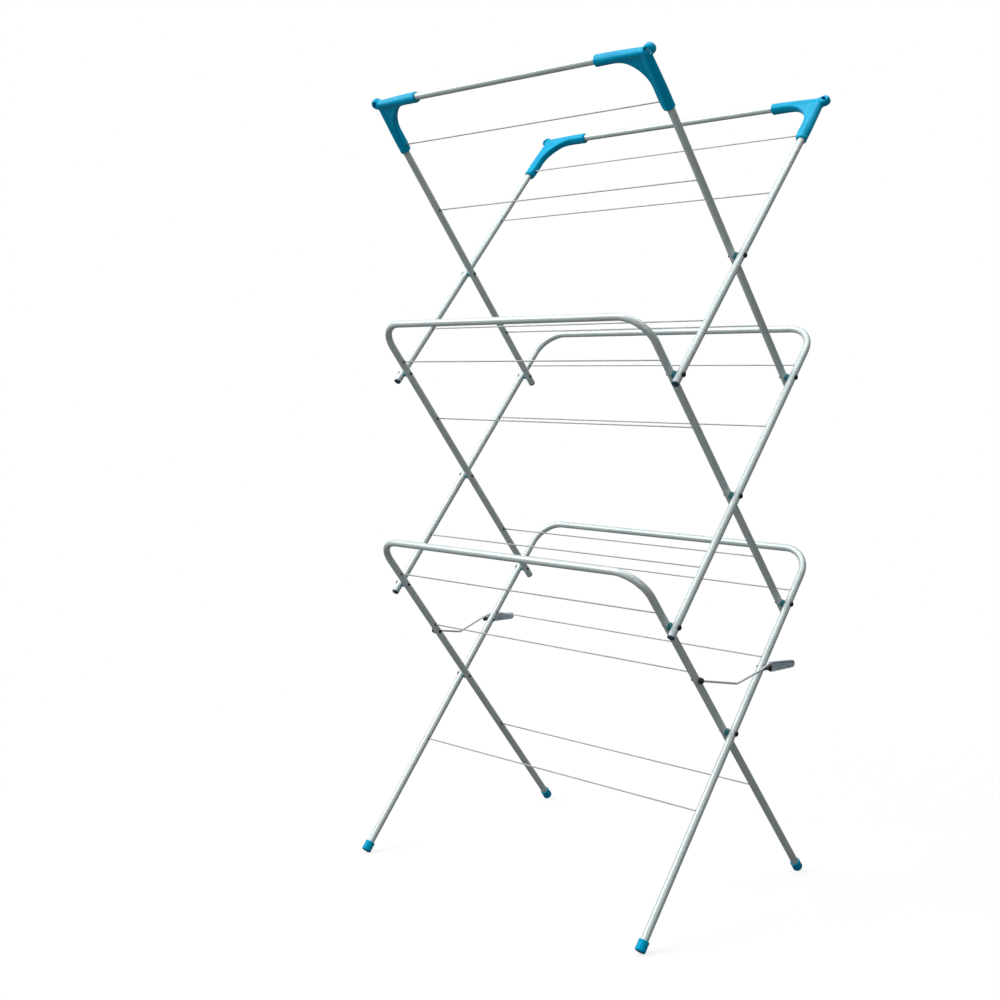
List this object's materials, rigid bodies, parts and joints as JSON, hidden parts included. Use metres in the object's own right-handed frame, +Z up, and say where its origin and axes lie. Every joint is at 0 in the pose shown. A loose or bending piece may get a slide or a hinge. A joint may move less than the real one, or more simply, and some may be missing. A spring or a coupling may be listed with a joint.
{
  "type": "clothes drying rack",
  "caption": "Folding concertina clothes airer: stacked scissor pairs of tube frames with drying wires, moulded top corners with hanger slots, foot caps and locking side stays.",
  "frame": {"origin": "on the floor, under the middle of the open rack", "axes": "+X along the drying rails to the right, -Y the front, +Z up"},
  "size_m": [0.6698, 0.5092, 1.3848],
  "materials": {
    "tube_coating": "smooth silver-grey powder coat on steel tube",
    "wire_coating": "grey coated steel wire",
    "corner_plastic": "turquoise moulded polypropylene, satin gloss",
    "rivet_black": "black moulded plastic caps and collars",
    "stay_steel": "plain drawn steel rod",
    "handle_coating": "blue-grey coated pressed channel"
  },
  "bodies": {
    "lower_front": {"lower_front_frame": "tube_coating", "lower_front_upper_wire": "wire_coating", "lower_front_middle_wire": "wire_coating", "lower_front_lower_wire": "wire_coating", "foot_back_left": "corner_plastic", "foot_back_right": "corner_plastic"},
    "lower_back": {"lower_back_frame": "tube_coating", "lower_back_upper_wire": "wire_coating", "lower_back_middle_wire": "wire_coating", "lower_back_lower_wire": "wire_coating", "foot_front_left": "corner_plastic", "lock_peg_left": "rivet_black", "lower_cross_rivet_left": "rivet_black", "back_joint_low_rivet_left": "rivet_black", "foot_front_right": "corner_plastic", "lock_peg_right": "rivet_black", "lower_cross_rivet_right": "rivet_black", "back_joint_low_rivet_right": "rivet_black"},
    "middle_front": {"middle_front_frame": "tube_coating", "middle_front_upper_wire": "wire_coating", "middle_front_middle_wire": "wire_coating", "middle_front_lower_wire": "wire_coating"},
    "middle_back": {"middle_back_frame": "tube_coating", "middle_back_upper_wire": "wire_coating", "middle_back_middle_wire": "wire_coating", "middle_back_lower_wire": "wire_coating", "front_joint_low_rivet_left": "rivet_black", "middle_cross_rivet_left": "rivet_black", "back_joint_high_rivet_left": "rivet_black", "front_joint_low_rivet_right": "rivet_black", "middle_cross_rivet_right": "rivet_black", "back_joint_high_rivet_right": "rivet_black"},
    "upper_front": {"upper_front_upper_wire": "wire_coating", "upper_front_middle_wire": "wire_coating", "upper_front_lower_wire": "wire_coating", "upper_front_bar": "tube_coating", "upper_front_leg_left": "tube_coating", "upper_front_corner_left": "corner_plastic", "upper_front_leg_right": "tube_coating", "upper_front_corner_right": "corner_plastic"},
    "upper_back": {"upper_back_upper_wire": "wire_coating", "upper_back_middle_wire": "wire_coating", "upper_back_lower_wire": "wire_coating", "upper_back_bar": "tube_coating", "upper_back_leg_left": "tube_coating", "upper_back_corner_left": "corner_plastic", "upper_back_leg_right": "tube_coating", "upper_back_corner_right": "corner_plastic", "front_joint_high_rivet_left": "rivet_black", "upper_cross_rivet_left": "rivet_black", "front_joint_high_rivet_right": "rivet_black", "upper_cross_rivet_right": "rivet_black"},
    "stay_left": {"stay_rod_left": "stay_steel", "stay_bush_left": "rivet_black", "stay_handle_left": "handle_coating"},
    "stay_right": {"stay_rod_right": "stay_steel", "stay_bush_right": "rivet_black", "stay_handle_right": "handle_coating"}
  },
  "joints": [
    {"name": "fold", "type": "hinge", "parent": "lower_front", "child": "lower_back", "pos_m": [0, 0, 0.29683], "axis": [1, 0, 0], "range_deg": [0, 62]},
    {"name": "front_joint_low", "type": "hinge", "parent": "lower_front", "child": "middle_back", "pos_m": [0, -0.16653, 0.49389], "axis": [1, 0, 0], "range_deg": [0, 62]},
    {"name": "back_joint_low", "type": "hinge", "parent": "lower_back", "child": "middle_front", "pos_m": [0, 0.16653, 0.49389], "axis": [1, 0, 0], "range_deg": [-62, 0]},
    {"name": "back_joint_high", "type": "hinge", "parent": "middle_back", "child": "upper_front", "pos_m": [0, 0.16653, 0.888], "axis": [1, 0, 0], "range_deg": [-62, 0]},
    {"name": "front_joint_high", "type": "hinge", "parent": "middle_front", "child": "upper_back", "pos_m": [0, -0.16653, 0.888], "axis": [1, 0, 0], "range_deg": [0, 62]},
    {"name": "stay_left_swing", "type": "hinge", "parent": "lower_front", "child": "stay_left", "pos_m": [0, -0.08326, 0.39536], "axis": [1, 0, 0], "range_deg": [0, 111.6]},
    {"name": "stay_right_swing", "type": "hinge", "parent": "lower_front", "child": "stay_right", "pos_m": [0, -0.08326, 0.39536], "axis": [1, 0, 0], "range_deg": [0, 111.6]}
  ],
  "couplings": [
    {"joint": "front_joint_low", "follows": "fold", "ratio": 1},
    {"joint": "back_joint_low", "follows": "fold", "ratio": -1},
    {"joint": "back_joint_high", "follows": "fold", "ratio": -1},
    {"joint": "front_joint_high", "follows": "fold", "ratio": 1},
    {"joint": "stay_left_swing", "follows": "fold", "ratio": 1.8},
    {"joint": "stay_right_swing", "follows": "fold", "ratio": 1.8}
  ]
}
